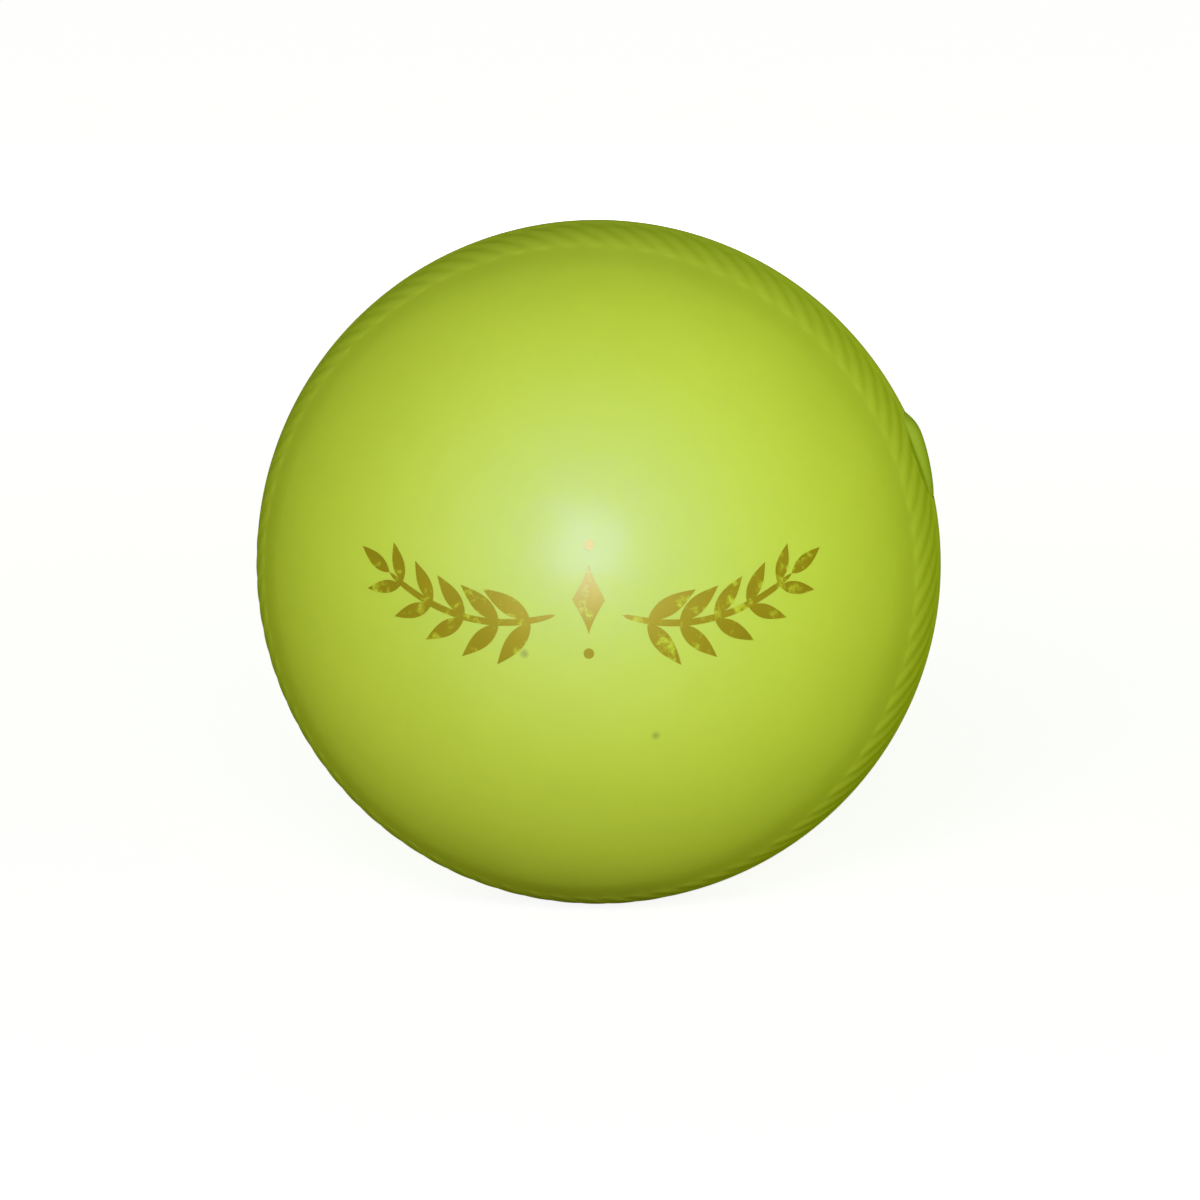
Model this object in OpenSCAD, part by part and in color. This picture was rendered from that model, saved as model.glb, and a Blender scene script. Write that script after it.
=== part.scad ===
// Hollow plastic cricket ball with a moulded seam band.
// Two half shells meet in a cemented lap joint under a stitched seam band, and a plug seals the air in.
// The ball stands with its seam upright: X runs to the right, Z up, and the front cheek faces -Y.

/* [Ball] */
// Diameter over the two smooth cheeks
ball_d = 72; // [66:0.5:86.5]
// Wall thickness of the half shells
wall = 5; // [4.1:0.1:6.5]

/* [Lap joint] */
// Length of the lap between the half shells
lap_l = 9; // [7:0.5:14]
// Thickness of the cement film in the lap
cement_t = 0.15; // [0.1:0.05:0.3]

/* [Seam band] */
// Width of the seam band from edge to edge
band_w = 24; // [18:0.5:29]
// Thickness of the band under its stitches
band_t = 1.8; // [1.5:0.1:2.2]
// Clearance between the band and its channel
band_clear = 0.05; // [0.02:0.01:0.2]
// Radius of the shallow gutter along each edge of the band
gutter_r = 30; // [20:1:40]
// Depth of that gutter
gutter_depth = 0.14; // [0.06:0.01:0.2]
// Width of the smooth rounded strip round the middle of the band
strip_w = 5; // [4:0.1:7]
// Height of that strip above the cheeks
strip_h = 0.25; // [0.2:0.01:0.5]

/* [Stitches] */
// Number of moulded stitches round the seam
stitch_count = 80; // [40:1:84]
// Height of a stitch above the cheeks
stitch_h = 0.2; // [0.1:0.01:0.3]
// Width of a stitch, with the part of its flanks that is sunk in the band
stitch_w = 2.05; // [1.4:0.05:2.1]
// Radius of a stitch's rounded back
stitch_r = 2.4; // [2:0.1:3]
// Depth of a stitch's root in the band
stitch_root = 0.6; // [0.4:0.1:1]
// Slant of a stitch away from square across the seam
stitch_slant = 30; // [0:1:34]
// Bare margin between the end of a stitch and the edge of the band
stitch_margin = 1.9; // [1.6:0.1:3]

/* [Air plug] */
// Place of the plug round the seam, anticlockwise from the right as seen from the front
plug_angle = 19; // [0:0.5:360]
// Diameter of the plug's head
plug_head_d = 9.5; // [8:0.5:15]
// Height of the head's crown above the strip
plug_proud = 0.65; // [0.3:0.05:1]
// Depth of the head's seat below the level of the cheeks
plug_seat_depth = 1; // [0.9:0.05:1.1]
// Radius of the head's domed crown
plug_crown_r = 26; // [22:1:40]
// Distance of the crown's highest point from the plug's own axis
plug_crown_shift = 2.2; // [0:0.1:2.5]
// Radius of the head's rounded flank
plug_flank_r = 8; // [8:0.5:14]
// Height of the head's rim above its seat
plug_rim_h = 0.75; // [0.4:0.05:0.8]
// Diameter of the plug's shank
plug_shank_d = 4; // [3:0.1:5]
// Diameter of the barb that holds the plug inside the wall
plug_barb_d = 6.4; // [5.6:0.1:8]
// Length of the barb's taper
plug_barb_l = 3.6; // [2:0.1:6]
// Diameter of the barb's tip
plug_tip_d = 2.6; // [1.5:0.1:3]
// Clearance round the plug's head and shank
plug_clear = 0.1; // [0.05:0.01:0.2]

/* [Hidden] */
$fn = 96;

ball_r = ball_d / 2;
cavity_r = ball_r - wall;
stitch_top_r = ball_r + stitch_h;
strip_top_r = ball_r + strip_h;
// The strip's arc springs from the band's own round section at the strip's two edges
strip_rise = strip_top_r - sqrt(pow(ball_r, 2) - pow(strip_w / 2, 2));
strip_r = (pow(strip_rise, 2) + pow(strip_w / 2, 2)) / (2 * strip_rise);

// The channel that the band sits in, and the band in it
channel_floor_r = ball_r - band_t;
channel_half_w = band_w / 2 + band_clear;
band_inner_r = channel_floor_r + band_clear;
// The gutter's own centre lies out in the air, over the edge of the channel
edge_tilt = asin(channel_half_w / ball_r);
gutter_centre_r = ball_r + gutter_r - gutter_depth;

// The lap joint lies in the middle of the wall that the channel leaves
spigot_r = (cavity_r + channel_floor_r - cement_t) / 2;
socket_r = spigot_r + cement_t;
lap_end = lap_l / 2;

// A stitch is an arc of a slanted great circle, sunk so that only its back stands out
stitch_half_arc = asin((band_w / 2 - stitch_margin) / (ball_r * cos(stitch_slant)));

// The plug's levels, from the centre of the ball outwards along the plug's axis
plug_seat_r = ball_r - plug_seat_depth;
plug_rim_top_r = plug_seat_r + plug_rim_h;
plug_top_r = strip_top_r + plug_proud;
// The shank's top is sunk in the head, up to the middle of the head's rim
plug_shank_top_r = plug_seat_r + plug_rim_h / 2;
plug_barb_r = sqrt(pow(cavity_r, 2) - pow(plug_barb_d / 2, 2)) - plug_clear;
plug_tip_r = plug_barb_r - plug_barb_l;
beyond_r = ball_r + 5;

lime = "YellowGreen";
lime_band = "OliveDrab";
cement_colour = "Khaki";
plug_colour = "GreenYellow";

// Stands the seam upright: the seam's axis turns from Z to -Y
module seam_upright() {
    rotate([90, 0, 0]) children();
}

// Points Z out of the ball through the middle of the seam, at the plug
module at_plug() {
    rotate([0, 0, plug_angle]) rotate([0, 90, 0]) children();
}

// A slice of the half plane that is revolved, from one height to another
module slice(low, high, start_r = 0) {
    translate([start_r, low]) square([beyond_r - start_r, high - low]);
}

// Cross-section of the hollow ball's wall between two heights
module wall_section(low, high) {
    intersection() {
        difference() {
            circle(r = ball_r);
            circle(r = cavity_r);
        }
        slice(low, high);
    }
}

// Cross-section of the channel that the band sits in
module channel_section() {
    difference() {
        slice(-channel_half_w, channel_half_w);
        circle(r = channel_floor_r);
    }
}

// Cross-section of the gutters along both edges of the band
module gutter_section() {
    for (side = [-1, 1]) rotate(side * edge_tilt) translate([gutter_centre_r, 0]) circle(r = gutter_r);
}

// The hole that the plug's shank passes through
module plug_bore() {
    at_plug() cylinder(d = plug_shank_d + 2 * plug_clear, h = beyond_r);
}

// Front half of the ball, whose rim ends in the spigot of the lap joint
module front_shell() {
    color(lime) seam_upright() difference() {
        rotate_extrude() difference() {
            wall_section(-lap_end, beyond_r);
            channel_section();
            gutter_section();
            slice(-beyond_r, lap_end, spigot_r);
        }
        plug_bore();
    }
}

// Rear half of the ball, whose rim ends in the socket round the spigot
module rear_shell() {
    color(lime) seam_upright() difference() {
        rotate_extrude() difference() {
            wall_section(-beyond_r, lap_end);
            channel_section();
            gutter_section();
            translate([0, -lap_end]) square([socket_r, lap_l]);
        }
        plug_bore();
    }
}

// Film of set cement that fills the lap joint between spigot and socket
module joint_cement() {
    color(cement_colour) seam_upright() difference() {
        translate([0, 0, -lap_end]) cylinder(r = socket_r, h = lap_l);
        translate([0, 0, -lap_l]) cylinder(r = spigot_r, h = 2 * lap_l);
        plug_bore();
    }
}

// One moulded stitch, a low round-backed rib across the band
module stitch() {
    rotate([90 + stitch_slant, 0, 0]) rotate([0, 0, -stitch_half_arc])
        rotate_extrude(angle = 2 * stitch_half_arc) intersection() {
            translate([stitch_top_r - stitch_r, 0]) circle(r = stitch_r);
            translate([ball_r - stitch_root, -stitch_w / 2]) square([stitch_root + stitch_r, stitch_w]);
        }
}

// Cross-section of the band without its stitches
module band_section() {
    difference() {
        union() {
            intersection() {
                circle(r = ball_r);
                slice(-band_w / 2, band_w / 2);
            }
            translate([strip_top_r - strip_r, 0]) circle(r = strip_r);
        }
        circle(r = band_inner_r);
        gutter_section();
    }
}

// Soft ring that lies in the channel over the joint and carries the stitches
module seam_band() {
    color(lime_band) seam_upright() difference() {
        union() {
            rotate_extrude() band_section();
            for (i = [0 : stitch_count - 1]) rotate([0, 0, i * 360 / stitch_count]) stitch();
        }
        at_plug() translate([0, 0, plug_seat_r])
            cylinder(d = plug_head_d + 2 * plug_clear, h = beyond_r - plug_seat_r);
        plug_bore();
    }
}

// Half of the section of the plug's shank and barb
module plug_stem_section() {
    polygon([
        [0, plug_tip_r],
        [plug_tip_d / 2, plug_tip_r],
        [plug_barb_d / 2, plug_barb_r],
        [plug_shank_d / 2, plug_barb_r],
        [plug_shank_d / 2, plug_shank_top_r],
        [0, plug_shank_top_r],
    ]);
}

// Plug pushed through the wall to seal the air in, with a barb inside and a lopsided crown outside
module air_plug() {
    flank_drop = sqrt(pow(plug_flank_r, 2) - pow(plug_head_d / 2, 2));
    color(plug_colour) seam_upright() at_plug() {
        intersection() {
            translate([0, 0, plug_seat_r]) cylinder(d = plug_head_d, h = beyond_r - plug_seat_r);
            translate([0, plug_crown_shift, plug_top_r - plug_crown_r]) sphere(r = plug_crown_r);
            translate([0, 0, plug_rim_top_r - flank_drop]) sphere(r = plug_flank_r);
        }
        rotate_extrude() plug_stem_section();
    }
}

front_shell();
rear_shell();
seam_band();
joint_cement();
air_plug();
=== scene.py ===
import math

import bpy
import bmesh
import numpy as np
from mathutils import Matrix, Vector


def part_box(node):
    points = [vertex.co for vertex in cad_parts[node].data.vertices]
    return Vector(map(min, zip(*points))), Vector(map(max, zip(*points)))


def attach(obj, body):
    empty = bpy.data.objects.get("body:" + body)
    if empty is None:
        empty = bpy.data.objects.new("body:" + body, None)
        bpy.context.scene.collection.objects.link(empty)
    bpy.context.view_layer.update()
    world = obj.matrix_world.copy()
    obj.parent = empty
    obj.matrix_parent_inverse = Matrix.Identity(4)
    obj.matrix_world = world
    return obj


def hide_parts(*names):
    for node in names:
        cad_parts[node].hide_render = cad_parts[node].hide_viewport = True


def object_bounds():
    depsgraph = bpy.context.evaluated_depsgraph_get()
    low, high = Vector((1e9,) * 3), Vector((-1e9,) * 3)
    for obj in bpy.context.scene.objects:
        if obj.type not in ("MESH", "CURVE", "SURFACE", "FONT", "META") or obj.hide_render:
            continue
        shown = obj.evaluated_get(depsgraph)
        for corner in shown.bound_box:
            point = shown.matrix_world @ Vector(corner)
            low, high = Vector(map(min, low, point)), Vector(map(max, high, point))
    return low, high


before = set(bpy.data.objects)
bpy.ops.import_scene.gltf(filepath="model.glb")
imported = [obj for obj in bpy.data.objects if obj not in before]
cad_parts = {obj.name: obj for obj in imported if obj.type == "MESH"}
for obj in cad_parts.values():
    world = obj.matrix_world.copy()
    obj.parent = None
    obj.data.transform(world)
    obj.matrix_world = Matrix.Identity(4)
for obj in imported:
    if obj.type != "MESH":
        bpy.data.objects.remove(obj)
cad_low, cad_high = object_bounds()

# Half shells
# Two thick cups, moulded in soft lime plastic that is coloured right through. Each has a smooth cheek,
# and a stepped rim that carries half of the lap joint and half of the channel for the seam band.
mm = 0.001
cheek_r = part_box("rear_shell")[1].y
wall = 5.0 * mm
cavity_r = cheek_r - wall
channel_depth = 1.8 * mm
channel_floor_r = cheek_r - channel_depth
band_half_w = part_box("seam_band")[1].y
edge_gap = 0.001 * mm
gutter_depth = 0.08 * mm
gutter_cheek_w = 4.5 * mm
gutter_band_w = 3.6 * mm
socket_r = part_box("joint_cement")[1].x
cement_t = 0.15 * mm
spigot_r = socket_r - cement_t
lap_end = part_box("joint_cement")[1].y
plug_turn = math.radians(19)
plug_out = Vector((math.cos(plug_turn), 0, math.sin(plug_turn)))
plug_hole_r = 2.1 * mm
hole_sides = 96
weld_gap = 0.0001 * mm
shell_columns = 440
cheek_rows = 80
gutter_rows = 36
channel_rows = 12
cavity_rows = 40
shell_crease = 40


def skin(name, rows, loop=False):
    """A mesh piece from rings of points. The last ring joins the first if loop is set."""
    rows = np.asarray(rows, float)
    high, across = rows.shape[:2]
    faces = [
        (
            r * across + c,
            r * across + (c + 1) % across,
            (r + 1) % high * across + (c + 1) % across,
            (r + 1) % high * across + c,
        )
        for r in range(high if loop else high - 1)
        for c in range(across)
    ]
    mesh = bpy.data.meshes.new(name)
    mesh.from_pydata(rows.reshape(-1, 3).tolist(), [], faces)
    welded = bmesh.new()
    welded.from_mesh(mesh)
    bmesh.ops.remove_doubles(welded, verts=welded.verts, dist=weld_gap)
    bmesh.ops.recalc_face_normals(welded, faces=welded.faces)
    welded.to_mesh(mesh)
    welded.free()
    piece = bpy.data.objects.new(name, mesh)
    bpy.context.scene.collection.objects.link(piece)
    return piece


def soften(piece, crease):
    """Shades a piece smooth, with a hard edge only where it folds by more than crease degrees."""
    piece.data.polygons.foreach_set("use_smooth", [True] * len(piece.data.polygons))
    piece.data.set_sharp_from_angle(angle=math.radians(crease))


def revolved(name, outline):
    """Turns an outline of (radius, y) points about the seam's axis."""
    turns = np.linspace(0, 2 * math.pi, shell_columns, endpoint=False)
    x, z = np.cos(turns), np.sin(turns)
    return skin(name, [np.column_stack((r * x, np.full(shell_columns, y), r * z)) for r, y in outline])


def bored(piece, radius, start, end):
    """Cuts a round hole along the plug's axis, from one distance to another from the ball's centre."""
    bpy.ops.mesh.primitive_cylinder_add(vertices=hole_sides, radius=radius, depth=end - start)
    cutter = bpy.context.object
    turned = plug_out.to_track_quat("Z", "Y").to_matrix().to_4x4()
    cutter.matrix_world = Matrix.Translation(plug_out * (start + end) / 2) @ turned
    cut = piece.modifiers.new("plug hole", "BOOLEAN")
    cut.object = cutter
    cut.solver = "EXACT"
    evaluated = piece.evaluated_get(bpy.context.evaluated_depsgraph_get())
    result = bpy.data.meshes.new_from_object(evaluated)
    piece.modifiers.clear()
    piece.data = result
    bpy.data.objects.remove(cutter)


def hump(near):
    """A smooth hump, 1 in its middle, where near is 0, and 0 from its foot, where near is 1, outwards."""
    return 0.5 + 0.5 * np.cos(math.pi * np.clip(near, 0, 1))


def gutter_dip(distance, width):
    """Depth of the soft gutter at distances from the band's edge, on a side of that width."""
    return gutter_depth * hump(np.abs(distance) / width)


def shell_outline(side):
    """Half of a shell's section, from its outer pole to its inner one. Side is -1 in front, 1 at the rear."""
    edge_y = band_half_w + edge_gap
    edge_tilt = math.acos(edge_y / cheek_r)
    dip_tilt = edge_tilt - gutter_cheek_w / cheek_r
    cheek_tilts = np.linspace(0, dip_tilt, cheek_rows)
    gutter_tilts = np.linspace(dip_tilt, edge_tilt, gutter_rows)[1:]
    tilts = np.concatenate((cheek_tilts, gutter_tilts))
    radii = cheek_r - gutter_dip(cheek_r * (edge_tilt - tilts), gutter_cheek_w)
    outer = [(r * math.sin(tilt), side * r * math.cos(tilt)) for r, tilt in zip(radii, tilts)]
    lip_r = spigot_r if side < 0 else socket_r
    channel_end = lap_end if side < 0 else -lap_end
    channel_y = np.linspace(edge_y, channel_end, channel_rows)
    channel = [(math.sqrt(channel_floor_r**2 - y**2), side * y) for y in channel_y]
    lip = [(lip_r, side * channel_end), (lip_r, -side * channel_end)]
    inner_tilts = np.linspace(math.acos(-channel_end / cavity_r), 0, cavity_rows)
    inner = [(cavity_r * math.sin(tilt), side * cavity_r * math.cos(tilt)) for tilt in inner_tilts]
    return outer + channel + lip + inner


def wire(tree, kind, settings=None, **links):
    """A shader node. Each link names an input, or gives its number after an i, and what goes in there."""
    made = tree.nodes.new(kind)
    for key, value in (settings or {}).items():
        setattr(made, key, value)
    for key, value in links.items():
        numbered = key[0] == "i" and key[1:].isdigit()
        spot = made.inputs[int(key[1:])] if numbered else made.inputs[key.replace("_", " ")]
        if isinstance(value, bpy.types.NodeSocket):
            tree.links.new(value, spot)
        else:
            spot.default_value = value
    return made


def noise(tree, place, scale, detail, roughness=0.5):
    """A cloudy grey, with so many blotches to the metre."""
    blotches = wire(
        tree, "ShaderNodeTexNoise", Vector=place, Scale=scale, Detail=detail, Roughness=roughness
    )
    return blotches.outputs["Fac"]


def ranged(tree, value, start, end, at_start, at_end):
    """A value that goes from at_start to at_end while the given one goes from start to end."""
    slope = wire(
        tree,
        "ShaderNodeMapRange",
        Value=value,
        From_Min=start,
        From_Max=end,
        To_Min=at_start,
        To_Max=at_end,
    )
    return slope.outputs["Result"]


def mixed(tree, share, first, second):
    """A colour that goes from the first to the second as share goes from 0 to 1."""
    return wire(tree, "ShaderNodeMix", {"data_type": "RGBA"}, i0=share, i6=first, i7=second).outputs[2]


def new_material(name):
    """A new material, with its nodes and the inputs of its main shader."""
    material = bpy.data.materials.new(name)
    material.use_nodes = True
    tree = material.node_tree
    return material, tree, tree.nodes["Principled BSDF"].inputs


lime = (0.57, 0.72, 0.043, 1)
lime_dull = (0.535, 0.68, 0.037, 1)
cloud_scale = 70.0
peel_scale = 420.0
grain_scale = 3600.0
grain_share = 0.12
peel_depth = 0.012 * mm
peel_strength = 0.25
skin_depth = 1.2 * mm
speck_colour = (0.24, 0.28, 0.02, 1)
speck_core_r = 0.1 * mm
speck_edge_r = 0.6 * mm
speck_cover = 0.6
specks = ((-0.124, -0.978, -0.166), (0.242, -0.88, -0.407))


def make_plastic_group():
    """Moulded lime plastic: cloudy pigment, a faint orange peel, a fine grain and a few specks."""
    group = bpy.data.node_groups.new("Moulded lime plastic", "ShaderNodeTree")
    face = group.interface
    face.new_socket("Pigment", in_out="INPUT", socket_type="NodeSocketColor")
    face.new_socket("Dull pigment", in_out="INPUT", socket_type="NodeSocketColor")
    face.new_socket("Colour", in_out="OUTPUT", socket_type="NodeSocketColor")
    face.new_socket("Roughness", in_out="OUTPUT", socket_type="NodeSocketFloat")
    face.new_socket("Height", in_out="OUTPUT", socket_type="NodeSocketFloat")
    given = group.nodes.new("NodeGroupInput").outputs
    place = wire(group, "ShaderNodeTexCoord").outputs["Object"]
    cloud = noise(group, place, cloud_scale, 3.0, 0.55)
    peel = noise(group, place, peel_scale, 2.0)
    grain = noise(group, place, grain_scale, 2.0, 0.6)
    mottle = ranged(group, cloud, 0.35, 0.68, 0.0, 0.6)
    pigment = mixed(group, mottle, given["Pigment"], given["Dull pigment"])
    for toward in specks:
        middle = Vector(toward) * cheek_r
        gap = wire(group, "ShaderNodeVectorMath", {"operation": "DISTANCE"}, i0=place, i1=middle)
        dirt = ranged(group, gap.outputs["Value"], speck_core_r, speck_edge_r, speck_cover, 0.0)
        pigment = mixed(group, dirt, pigment, speck_colour)
    relief = wire(
        group, "ShaderNodeMath", {"operation": "MULTIPLY_ADD"}, i0=grain, i1=grain_share, i2=peel
    ).outputs[0]
    rough = ranged(group, relief, 0.35, 0.8, 0.62, 0.7)
    wire(group, "NodeGroupOutput", Colour=pigment, Roughness=rough, Height=relief)
    return group


plastic_group = make_plastic_group()


def make_plastic(name, pigment, dull):
    """A lime plastic with its own pigment. Its bluish sheen and its gloss both fade towards the rim."""
    material, tree, shader = new_material(name)
    moulded = wire(
        tree, "ShaderNodeGroup", {"node_tree": plastic_group}, Pigment=pigment, Dull_pigment=dull
    ).outputs
    bump = wire(tree, "ShaderNodeBump", Strength=peel_strength, Distance=peel_depth, Height=moulded["Height"])
    facing = wire(tree, "ShaderNodeLayerWeight", Blend=0.5).outputs["Facing"]
    tree.links.new(moulded["Colour"], shader["Base Color"])
    tree.links.new(moulded["Roughness"], shader["Roughness"])
    tree.links.new(bump.outputs["Normal"], shader["Normal"])
    tree.links.new(ranged(tree, facing, 0.1, 0.8, 1.0, 0.0), shader["Specular IOR Level"])
    tree.links.new(ranged(tree, facing, 0.05, 0.7, 0.27, 0.0), shader["Coat Weight"])
    shader["IOR"].default_value = 1.48
    shader["Specular Tint"].default_value = (0.08, 0.1, 1, 1)
    shader["Coat Roughness"].default_value = 0.3
    shader["Coat IOR"].default_value = 1.4
    shader["Subsurface Weight"].default_value = 0.12
    shader["Subsurface Radius"].default_value = (1.0, 1.0, 0.2)
    shader["Subsurface Scale"].default_value = skin_depth
    return material


shell_plastic = make_plastic("Cheek plastic", lime, lime_dull)
for node_name, side in (("front_shell", -1), ("rear_shell", 1)):
    shell = revolved(node_name + "_moulding", shell_outline(side))
    bored(shell, plug_hole_r, cavity_r - wall, cheek_r)
    soften(shell, shell_crease)
    shell.data.materials.append(shell_plastic)
    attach(shell, "root")
    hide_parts(node_name)

# Joint cement
# A thin film of solvent cement, run into the lap joint before the halves are pressed together.
# It sets hard, and stays hidden under the seam band.
cement_pale = (0.80, 0.70, 0.34, 1)
cement_amber = (0.62, 0.50, 0.18, 1)
cement_flow_scale = 300.0
cement, cement_tree, cement_shader = new_material("Set cement")
cement_place = wire(cement_tree, "ShaderNodeTexCoord").outputs["Object"]
cement_flow = noise(cement_tree, cement_place, cement_flow_scale, 4.0)
cement_colour = mixed(cement_tree, cement_flow, cement_pale, cement_amber)
cement_tree.links.new(cement_colour, cement_shader["Base Color"])
cement_tree.links.new(cement_flow, cement_shader["Roughness"])
cement_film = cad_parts["joint_cement"]
cement_film.data.materials.clear()
cement_film.data.materials.append(cement)

# Seam band
# A soft ring of the same lime plastic, laid in the channel over the joint. Low slanted ribs are moulded
# across it in place of stitches, with a smooth strip round the middle and a gutter along both edges.
strip_top_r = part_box("seam_band")[1].z
strip_half_w = 3.2 * mm
stitch_count = 80
stitch_slant = math.radians(30)
stitch_half_w = 1.2 * mm
stitch_rise = 0.09 * mm
stitch_margin = 1.6 * mm
stitch_end_y = band_half_w - stitch_margin
stitch_roundness = 1.15
stitch_unevenness = 0.15
stitch_seed = 11
relief_blend = 4
band_fit = 0.05 * mm
band_inner_r = channel_floor_r + band_fit
columns_per_stitch = 11
band_outer_rows = 97
band_inner_rows = 7
band_crease = 50
plug_seat_depth = 1.0 * mm
plug_seat_r = cheek_r - plug_seat_depth
plug_head_r = 4.75 * mm
plug_fit = 0.05 * mm
lean = math.sin(stitch_slant)
reach = math.cos(stitch_slant)
stitch_evenness = 1 - stitch_unevenness * np.random.RandomState(stitch_seed).rand(stitch_count)


def across_band(turn, arc):
    """Unit vectors on the ribs' slanted great circles. Turn goes round the seam, and arc along a rib."""
    x = np.cos(arc)
    y = -np.sin(arc) * reach
    side = -np.sin(arc) * lean
    return np.stack((x * np.cos(turn) - side * np.sin(turn), y, x * np.sin(turn) + side * np.cos(turn)), -1)


def rib_height(out):
    """How far the ribs stand above the band at points given by unit vectors."""
    arc = np.arcsin(np.clip(-out[..., 1] / reach, -1, 1))
    drift = np.arctan2(-np.sin(arc) * lean, np.cos(arc))
    pitch = 2 * math.pi / stitch_count
    rib = np.round((np.arctan2(out[..., 2], out[..., 0]) - drift) / pitch)
    home = rib * pitch
    start = np.stack((np.cos(home), np.zeros_like(home), np.sin(home)), -1)
    lengthwise = np.stack((lean * np.sin(home), np.full_like(home, -reach), -lean * np.cos(home)), -1)
    sideways = np.cross(start, lengthwise)
    off = cheek_r * np.arcsin(np.clip((out * sideways).sum(-1), -1, 1))
    run = np.abs(cheek_r * np.arctan2((out * lengthwise).sum(-1), (out * start).sum(-1)))
    end = cheek_r * math.asin(stitch_end_y / cheek_r / reach)
    near = np.hypot(off, np.maximum(run - end, 0)) / stitch_half_w
    uneven = stitch_evenness[rib.astype(int) % stitch_count]
    return stitch_rise * uneven * hump(near**stitch_roundness)


def strip_height(y):
    """How far the smooth strip round the middle stands above the band, at distances from the middle."""
    return (strip_top_r - cheek_r) * hump(np.abs(y) / strip_half_w)


band_columns = stitch_count * columns_per_stitch
band_turns = np.linspace(0, 2 * math.pi, band_columns, endpoint=False)
band_arc = math.asin(band_half_w / cheek_r / reach)
band_edge_tilt = math.asin(band_half_w / cheek_r)
band_rows = []
for arc in np.linspace(-band_arc, band_arc, band_outer_rows):
    out = across_band(band_turns, np.full(band_columns, arc))
    strip = strip_height(cheek_r * out[:, 1])
    relief = (rib_height(out) ** relief_blend + strip**relief_blend) ** (1 / relief_blend)
    from_edge = cheek_r * (band_edge_tilt - np.arcsin(np.abs(out[:, 1])))
    band_rows.append(out * (cheek_r + relief - gutter_dip(from_edge, gutter_band_w))[:, None])
for arc in np.linspace(band_arc, -band_arc, band_inner_rows):
    inner_arc = math.asin(math.sin(arc) * cheek_r / band_inner_r)
    band_rows.append(across_band(band_turns, np.full(band_columns, inner_arc)) * band_inner_r)
band = skin("seam_band_moulding", band_rows, loop=True)
bored(band, plug_head_r + plug_fit, plug_seat_r, cheek_r + wall)
bored(band, plug_hole_r, cavity_r, cheek_r)
soften(band, band_crease)
band.data.materials.append(make_plastic("Band plastic", lime, lime_dull))
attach(band, "root")
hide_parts("seam_band")

# Air plug
# A soft mushroom plug, pushed through the seam after the ball is filled. Its barb grips inside the wall.
# Its head lies flush, with a low ridge along the seam that stands higher at one end than at the other.
crown_proud = 0.65 * mm
crown_top_r = strip_top_r + crown_proud
crown_r = 26 * mm
crown_shift = 2.2 * mm
crown_narrowing = 2.7
plug_sunk = 0.05 * mm
flank_r = 8 * mm
rim_low = 0.62 * mm
rim_swell = 0.3 * mm
rim_round = 0.06 * mm
foot_blend = 0.06 * mm
flank_blend = 0.12 * mm
shank_r = 2.0 * mm
barb_r = 3.2 * mm
barb_l = 3.6 * mm
tip_r = 1.3 * mm
plug_sides = 96
crown_rows = 36
rim_rows = 6
plug_crease = 35
# The plug's pigment is about a quarter darker than the band's lime. This is painted shade: it dims the head,
# whose crown faces the lights more, to the tone of the ribs round it.
plug_painted_shade_lime = (0.41, 0.55, 0.03, 1)
plug_painted_shade_lime_dull = (0.385, 0.52, 0.026, 1)
plug_along = Vector((-math.sin(plug_turn), 0, math.cos(plug_turn)))
plug_across = plug_out.cross(plug_along)
plug_angles = np.linspace(0, 2 * math.pi, plug_sides, endpoint=False)


def plug_row(radius, height):
    """One ring of the plug, at a radius from its axis and at a height, or heights, from the ball's centre."""
    height = np.broadcast_to(height, plug_angles.shape)
    return [
        plug_out * h + plug_along * (radius * math.sin(a)) + plug_across * (radius * math.cos(a))
        for a, h in zip(plug_angles, height)
    ]


def crown_height(radius):
    """Heights of one ring of the head: a lopsided ridge on a flush disc, with a round flank."""
    along = radius * np.sin(plug_angles) - crown_shift
    across = crown_narrowing * radius * np.cos(plug_angles)
    ridge = crown_top_r - crown_r + np.sqrt(crown_r**2 - along**2 - across**2) - cheek_r
    disc = math.sqrt((cheek_r - plug_sunk) ** 2 - radius**2) - cheek_r
    top = foot_blend * np.log(np.exp(ridge / foot_blend) + np.exp(disc / foot_blend))
    rim_top_r = plug_seat_r + rim_low + rim_swell * np.sin(plug_angles) ** 2 * radius / plug_head_r
    flank_centre_r = rim_top_r - math.sqrt(flank_r**2 - plug_head_r**2)
    flank = flank_centre_r + math.sqrt(flank_r**2 - radius**2) - cheek_r
    return cheek_r - flank_blend * np.log(np.exp(-top / flank_blend) + np.exp(-flank / flank_blend))


crown_edge = plug_head_r - rim_round
plug_rows = [plug_row(r, crown_height(r)) for r in np.linspace(0, crown_edge, crown_rows)]
plug_rows[0] = plug_row(0, float(crown_height(0)[0]))
for bend in np.linspace(0, math.pi / 2, rim_rows)[1:]:
    drop = rim_round * (1 - math.cos(bend))
    plug_rows.append(plug_row(crown_edge + rim_round * math.sin(bend), crown_height(crown_edge) - drop))
barb_top = math.sqrt(cavity_r**2 - barb_r**2) - plug_fit
for radius, height in (
    (plug_head_r, plug_seat_r),
    (shank_r, plug_seat_r),
    (shank_r, barb_top),
    (barb_r, barb_top),
    (tip_r, barb_top - barb_l),
    (0, barb_top - barb_l),
):
    plug_rows.append(plug_row(radius, height))
plug = skin("air_plug_moulding", plug_rows)
soften(plug, plug_crease)
plug.data.materials.append(make_plastic("Plug plastic with painted shade", plug_painted_shade_lime, plug_painted_shade_lime_dull))
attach(plug, "root")
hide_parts("air_plug")

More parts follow.
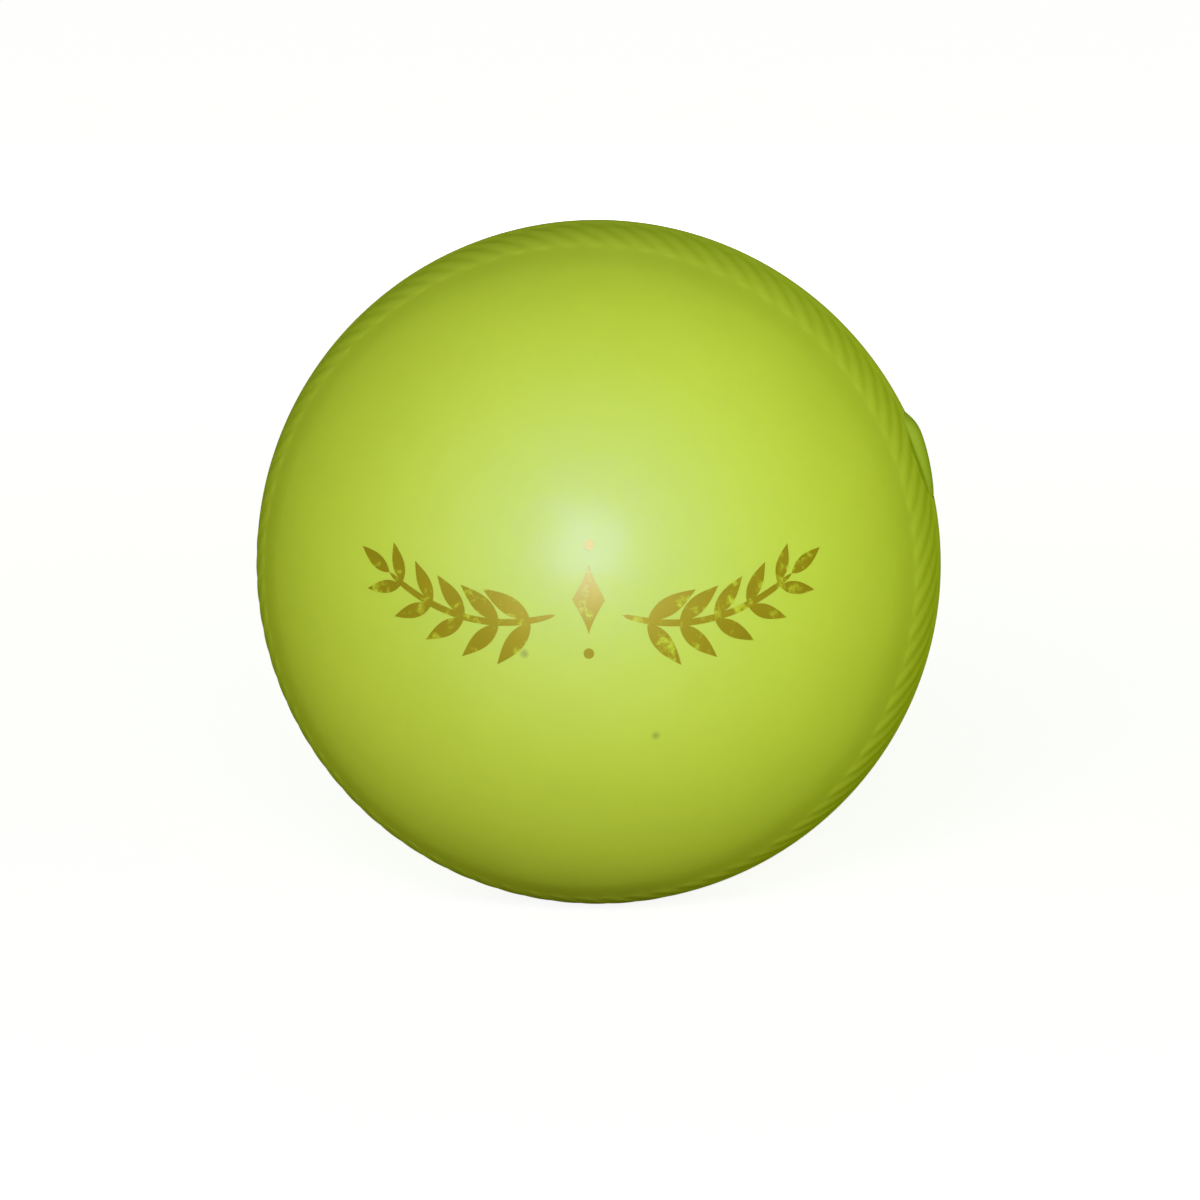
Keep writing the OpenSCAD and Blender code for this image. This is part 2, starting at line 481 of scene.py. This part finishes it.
# Foil ornament
# A garland of two leafy sprays and a lozenge, stamped hot in gold foil on the front cheek. The foil is a
# few hundredths of a millimetre thick, lies close on the plastic and is rubbed thin in places.
foil_bed = 0.004 * mm
foil_t = 0.03 * mm
foil_right = 2.2 * mm
foil_up = -0.3 * mm
foil_out = Vector((foil_right, -cheek_r, foil_up)).normalized()
foil_left = foil_out.cross(Vector((0, 0, 1))).normalized()
foil_above = foil_left.cross(foil_out)
foil_crease = 60

# Lengths in the ornament's plan are in millimetres, to the left of its middle and above it
stem_bends = np.array([(3.4, -1.6), (13.0, -4.6), (22.0, 2.2)])
stem_half_w = 0.36
stem_bluntness = 6
stem_points = 41
leaf_places = np.linspace(5, 36, 5)
leaf_lean = 0.72
leaf_gap = 0.35
leaf_l = 6.0
leaf_half_w = 0.98
leaf_shrink = 0.3
leaf_belly = 0.8
leaf_points = 17
tip_leaf_l = 4.6
tip_leaf_half_w = 0.75
lozenge_half_h = 3.6
lozenge_half_w = 1.7
lozenge_hollow = 1.3
lozenge_points = 17
dot_r = 0.55
dot_above = 5.6
dot_points = 13
stroke_columns = 5


def on_cheek(left, above, lift):
    """Points on the cheek at places in the ornament's plan, lifted off the plastic."""
    turn = np.hypot(left, above) * mm / cheek_r
    share = np.sinc(turn / math.pi) * mm / cheek_r
    flat = left[..., None] * np.array(foil_left) + above[..., None] * np.array(foil_above)
    return (np.cos(turn)[..., None] * np.array(foil_out) + share[..., None] * flat) * (cheek_r + lift)


def foil_stroke(path, half_w, bed=foil_bed):
    """A closed strip of foil along a path of points in the plan, with a half width at each of them."""
    path = np.asarray(path, float)
    half_w = np.asarray(half_w, float)
    heading = np.gradient(path, axis=0)
    heading /= np.linalg.norm(heading, axis=1)[:, None]
    sideways = np.column_stack((-heading[:, 1], heading[:, 0]))
    spread = np.linspace(-1, 1, stroke_columns)
    flat = path[:, None] + sideways[:, None] * (half_w[:, None] * spread)[..., None]
    top = on_cheek(flat[..., 0], flat[..., 1], bed + foil_t)
    bottom = on_cheek(flat[..., 0], flat[..., 1], bed)[:, ::-1]
    return np.concatenate((top, bottom), axis=1)


def leaf(root, heading, length, half_w, bed):
    """A pointed leaf that starts at a root and runs along a heading in radians."""
    run = np.linspace(0, 1, leaf_points)
    path = np.array(root) + np.outer(run * length, (math.cos(heading), math.sin(heading)))
    return foil_stroke(path, half_w * np.sin(math.pi * run**leaf_belly), bed)


def dot(above):
    """A round dot on the ornament's middle line."""
    run = np.linspace(-1, 1, dot_points)
    path = np.column_stack((dot_r * run, np.full(dot_points, above)))
    return foil_stroke(path, dot_r * np.sqrt(np.clip(1 - run**2, 0, 1)))


def spray(side):
    """A stem with pairs of leaves and a leaf at its tip, on the left if side is 1 and on the right if -1."""
    run = np.linspace(0, 1, stem_points)[:, None]
    inner, middle, outer = stem_bends
    stem = (1 - run) ** 2 * inner + 2 * run * (1 - run) * middle + run**2 * outer
    taper = np.sqrt(np.clip(1 - (2 * run[:, 0] - 1) ** stem_bluntness, 0, 1))
    strokes = [foil_stroke(stem * (side, 1), stem_half_w * taper)]
    for place in leaf_places:
        here = stem[int(place)]
        along = stem[int(place) + 1] - stem[int(place) - 1]
        size = 1 - leaf_shrink * place / (stem_points - 1)
        for turn, bed in ((-leaf_lean, 3 * foil_bed), (leaf_lean, 5 * foil_bed)):
            heading = math.atan2(along[1], along[0]) + turn
            root = here + leaf_gap * np.array((math.cos(heading), math.sin(heading)))
            if side < 0:
                heading = math.pi - heading
            strokes.append(leaf(root * (side, 1), heading, leaf_l * size, leaf_half_w * size, bed))
    last = stem[-1] - stem[-2]
    tip = math.atan2(last[1], last[0])
    if side < 0:
        tip = math.pi - tip
    strokes.append(leaf(stem[-1] * (side, 1), tip, tip_leaf_l, tip_leaf_half_w, 2 * foil_bed))
    return strokes


lozenge_run = np.linspace(-1, 1, lozenge_points)
lozenge_path = np.column_stack((np.zeros(lozenge_points), lozenge_half_h * lozenge_run))
lozenge = foil_stroke(lozenge_path, lozenge_half_w * (1 - np.abs(lozenge_run)) ** lozenge_hollow)
marks = [lozenge, dot(dot_above), dot(-dot_above)] + spray(1) + spray(-1)

foil_gold = (0.34, 0.27, 0.003, 1)
foil_pale = (0.42, 0.34, 0.006, 1)
foil_cloud_scale = 240.0
foil_rub_scale = 620.0
foil_metal_share = 0.4
foil, foil_tree, foil_shader = new_material("Gold foil")
foil_place = wire(foil_tree, "ShaderNodeTexCoord").outputs["Object"]
foil_cloud = noise(foil_tree, foil_place, foil_cloud_scale, 3.0)
foil_rub = noise(foil_tree, foil_place, foil_rub_scale, 4.0, 0.65)
foil_tint = mixed(foil_tree, foil_cloud, foil_gold, foil_pale)
foil_cover = ranged(foil_tree, foil_rub, 0.32, 0.46, 0.15, 0.95)
foil_worn = mixed(foil_tree, foil_cover, lime_dull, foil_tint)
foil_metal = wire(
    foil_tree, "ShaderNodeMath", {"operation": "MULTIPLY"}, i0=foil_cover, i1=foil_metal_share
).outputs[0]
foil_rough = ranged(foil_tree, foil_rub, 0.3, 0.7, 0.6, 0.5)
foil_tree.links.new(foil_worn, foil_shader["Base Color"])
foil_tree.links.new(foil_metal, foil_shader["Metallic"])
foil_tree.links.new(foil_rough, foil_shader["Roughness"])
foil_shader["Specular IOR Level"].default_value = 0.1
foil_shader["Coat Weight"].default_value = 0.5
foil_shader["Coat Roughness"].default_value = 0.36
foil_shader["Coat IOR"].default_value = 1.6
for number, rows in enumerate(marks):
    stroke = skin(f"foil_stroke_{number}", rows)
    soften(stroke, foil_crease)
    stroke.data.materials.append(foil)
    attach(stroke, "root")

# Floor, light and camera
# A plain white table. A soft key light stands above the camera, with a blue one for the gloss alone at the
# same place, two warm ones low at the sides, a dim one behind at the upper right and one at the back.
# The camera stands where the photograph was taken, a little to the right of the front cheek and above it.
photo_px = 1200
outline_px = 343.2
outline_centre_px = (598.0, 562.3)
sensor_w = 36
camera_distance = 1.0
camera_azimuth = 5.0
camera_elevation = 5.6
camera_reach = 50
lamp_distance = 1.5
key_azimuth = 1.7
key_elevation = 11.0
key_size = (0.65, 0.65)
side_size = (1.2, 0.8)
back_size = (0.4, 0.4)
rear_size = (0.2, 0.2)
white_light = (1, 1, 1)
cool_light = (1.0, 0.98, 1.16)
blue_light = (0.1, 0.15, 1.0)
warm_light = (1, 1, 0.1)
warm_green_light = (0.9, 1, 0.1)
green_light = (0.75, 1, 0.05)


def direction(azimuth, elevation):
    """Unit vector from the ball towards a place round it, given in degrees."""
    turn, rise = math.radians(azimuth), math.radians(elevation)
    return Vector((math.sin(turn) * math.cos(rise), -math.cos(turn) * math.cos(rise), math.sin(rise)))


def aimed(name, data, azimuth, elevation, distance):
    """A lamp or camera that stands at a place round the ball and faces it."""
    stand = bpy.data.objects.new(name, data)
    toward = direction(azimuth, elevation)
    stand.location = toward * distance
    stand.rotation_mode = "QUATERNION"
    stand.rotation_quaternion = (-toward).to_track_quat("-Z", "Y")
    bpy.context.scene.collection.objects.link(stand)
    return stand


def softbox(name, azimuth, elevation, size, watts, colour, mirrored=True, lit=True):
    """A soft oval light turned to the ball. Mirrored puts it in the gloss, lit puts it on the pigment."""
    lamp = bpy.data.lights.new(name, "AREA")
    lamp.shape = "ELLIPSE"
    lamp.size, lamp.size_y = size
    lamp.energy = watts
    lamp.color = colour
    stand = aimed(name, lamp, azimuth, elevation, lamp_distance)
    stand.visible_camera = False
    stand.visible_glossy = mirrored
    stand.visible_diffuse = lit


softbox("Key light", key_azimuth, key_elevation, key_size, 20.5, cool_light)
softbox("Shine light", key_azimuth, key_elevation, key_size, 18.0, blue_light, lit=False)
softbox("Right light", 66.0, 1.0, side_size, 8.6, warm_green_light, mirrored=False)
softbox("Left light", -55.0, 2.0, side_size, 3.5, warm_light, mirrored=False)
softbox("Back light", 150.0, 22.0, back_size, 0.45, green_light)
softbox("Rear light", 185.0, 4.0, rear_size, 7.0, white_light, mirrored=False)

room_tint = (0.6, 1, 0.03, 1)
room_strength = 0.08
white = (1, 1, 1, 1)
sky_strength = 0.98
world = bpy.data.worlds.new("Room")
world.use_nodes = True
world_tree = world.node_tree
world_tree.nodes.clear()
room = wire(world_tree, "ShaderNodeBackground", Color=room_tint, Strength=room_strength)
sky = wire(world_tree, "ShaderNodeBackground", Color=white, Strength=sky_strength)
looked_at = wire(world_tree, "ShaderNodeLightPath").outputs["Is Camera Ray"]
backdrop = wire(world_tree, "ShaderNodeMixShader", i0=looked_at, i1=room.outputs[0], i2=sky.outputs[0])
wire(world_tree, "ShaderNodeOutputWorld", Surface=backdrop.outputs[0])
bpy.context.scene.world = world

floor_reach = 8.0
floor_near_y = 0.1
floor_far_y = 1.5
floor_near_glow = 0.88
floor_far_glow = 0.97
floor_gloss_share = 0.03
floor_bounce = (0.28, 0.245, 0.02, 1)
floor_grey = (0.4, 0.4, 0.4, 1)
floor_mesh = bpy.data.meshes.new("Floor")
corners = [(x * floor_reach, y * floor_reach, cad_low.z) for x, y in ((-1, -1), (1, -1), (1, 1), (-1, 1))]
floor_mesh.from_pydata(corners, [], [(0, 1, 2, 3)])
floor = bpy.data.objects.new("Floor", floor_mesh)
bpy.context.scene.collection.objects.link(floor)
floor_paint = bpy.data.materials.new("White table")
floor_paint.use_nodes = True
floor_tree = floor_paint.node_tree
floor_tree.nodes.clear()
ray = wire(floor_tree, "ShaderNodeLightPath").outputs
in_gloss = wire(floor_tree, "ShaderNodeMath", i0=ray["Is Glossy Ray"], i1=ray["Is Transmission Ray"])
seen = wire(
    floor_tree,
    "ShaderNodeMath",
    {"operation": "MULTIPLY_ADD"},
    i0=in_gloss.outputs[0],
    i1=floor_gloss_share,
    i2=ray["Is Camera Ray"],
)
floor_place = wire(floor_tree, "ShaderNodeTexCoord").outputs["Object"]
floor_y = wire(floor_tree, "ShaderNodeSeparateXYZ", Vector=floor_place).outputs["Y"]
paleness = ranged(floor_tree, floor_y, floor_near_y, floor_far_y, floor_near_glow, floor_far_glow)
shown = wire(floor_tree, "ShaderNodeMath", {"operation": "MULTIPLY"}, i0=seen.outputs[0], i1=paleness)
matt_colour = mixed(floor_tree, ray["Is Camera Ray"], floor_bounce, floor_grey)
matt = wire(floor_tree, "ShaderNodeBsdfDiffuse", Color=matt_colour)
glow = wire(floor_tree, "ShaderNodeEmission", Color=white, Strength=shown.outputs[0])
both = wire(floor_tree, "ShaderNodeAddShader", i0=matt.outputs[0], i1=glow.outputs[0])
wire(floor_tree, "ShaderNodeOutputMaterial", Surface=both.outputs[0])
floor_mesh.materials.append(floor_paint)

camera = bpy.data.cameras.new("Camera")
camera.sensor_width = sensor_w
outline_distance = math.sqrt(camera_distance**2 - strip_top_r**2)
camera.lens = sensor_w * outline_px / photo_px * outline_distance / strip_top_r
camera.shift_x = (photo_px / 2 - outline_centre_px[0]) / photo_px
camera.shift_y = (outline_centre_px[1] - photo_px / 2) / photo_px
camera.clip_end = camera_reach
bpy.context.scene.camera = aimed("Camera", camera, camera_azimuth, camera_elevation, camera_distance)
bpy.context.scene.view_settings.view_transform = "Standard"
